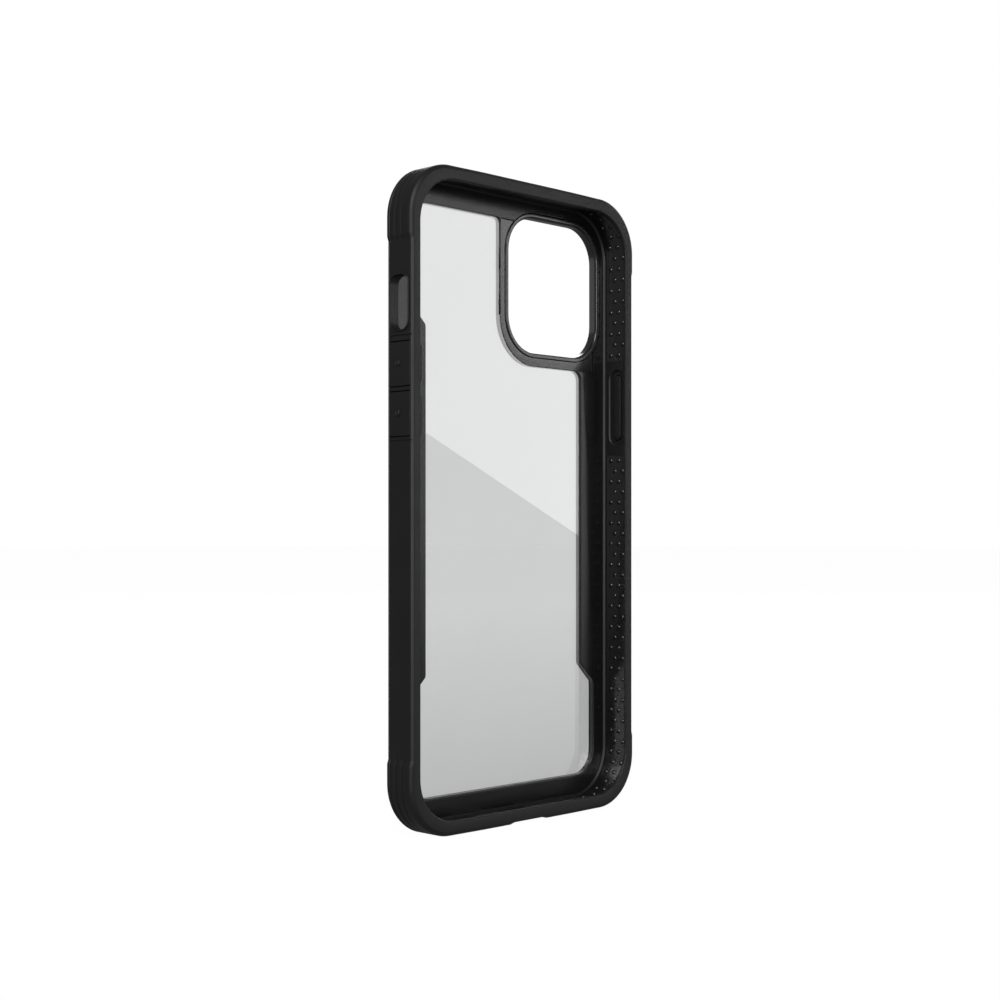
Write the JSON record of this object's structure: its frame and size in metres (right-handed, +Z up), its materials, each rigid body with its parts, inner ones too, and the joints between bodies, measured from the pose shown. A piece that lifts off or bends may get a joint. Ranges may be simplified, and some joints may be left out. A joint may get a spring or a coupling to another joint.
{
  "type": "phone case",
  "caption": "Rugged clear-back phone case with a soft bumper, grooved corner pads, a camera cut-out and sprung side buttons.",
  "frame": {"origin": "bottom centre of the bounding box, with the case standing on its charging-port edge", "axes": "+Z up the case's height, +X across its width towards the power button, -Y out of the screen opening"},
  "size_m": [0.0844, 0.0112, 0.1663],
  "materials": {
    "soft_bumper": "satin moulded rubber",
    "soft_pad": "satin moulded rubber with fine grooves",
    "soft_liner": "semi-gloss dimpled rubber",
    "button_rubber": "satin moulded rubber",
    "anodised_metal": "dark anodised, satin",
    "border_plastic": "semi-gloss black",
    "gloss_plastic": "gloss black",
    "clear_plastic": "clear, lightly smoked",
    "plunger_plastic": "satin"
  },
  "bodies": {
    "case": {"bumper": "soft_bumper", "metal_frame": "anodised_metal", "back_border": "border_plastic", "clear_panel": "clear_plastic", "camera_ring": "gloss_plastic", "left_rail": "gloss_plastic", "right_rail": "gloss_plastic", "corner_pad_top_left": "soft_pad", "corner_pad_top_right": "soft_pad", "corner_pad_bottom_left": "soft_pad", "corner_pad_bottom_right": "soft_pad", "cushion_top_left": "soft_liner", "cushion_top_right": "soft_liner", "cushion_bottom_left": "soft_liner", "cushion_bottom_right": "soft_liner", "mute_guard": "soft_pad"},
    "volume_up": {"volume_up_button": "button_rubber", "volume_up_plunger": "plunger_plastic"},
    "volume_down": {"volume_down_button": "button_rubber", "volume_down_plunger": "plunger_plastic"},
    "power": {"power_button": "button_rubber", "power_plunger": "plunger_plastic"}
  },
  "joints": [
    {"name": "volume_up_press", "type": "slide", "parent": "case", "child": "volume_up", "axis": [1, 0, 0], "range_m": [0, 0.0005], "stiffness_N_per_m": 4000},
    {"name": "volume_down_press", "type": "slide", "parent": "case", "child": "volume_down", "axis": [1, 0, 0], "range_m": [0, 0.0005], "stiffness_N_per_m": 4000},
    {"name": "power_press", "type": "slide", "parent": "case", "child": "power", "axis": [-1, 0, 0], "range_m": [0, 0.0005], "stiffness_N_per_m": 4000}
  ]
}
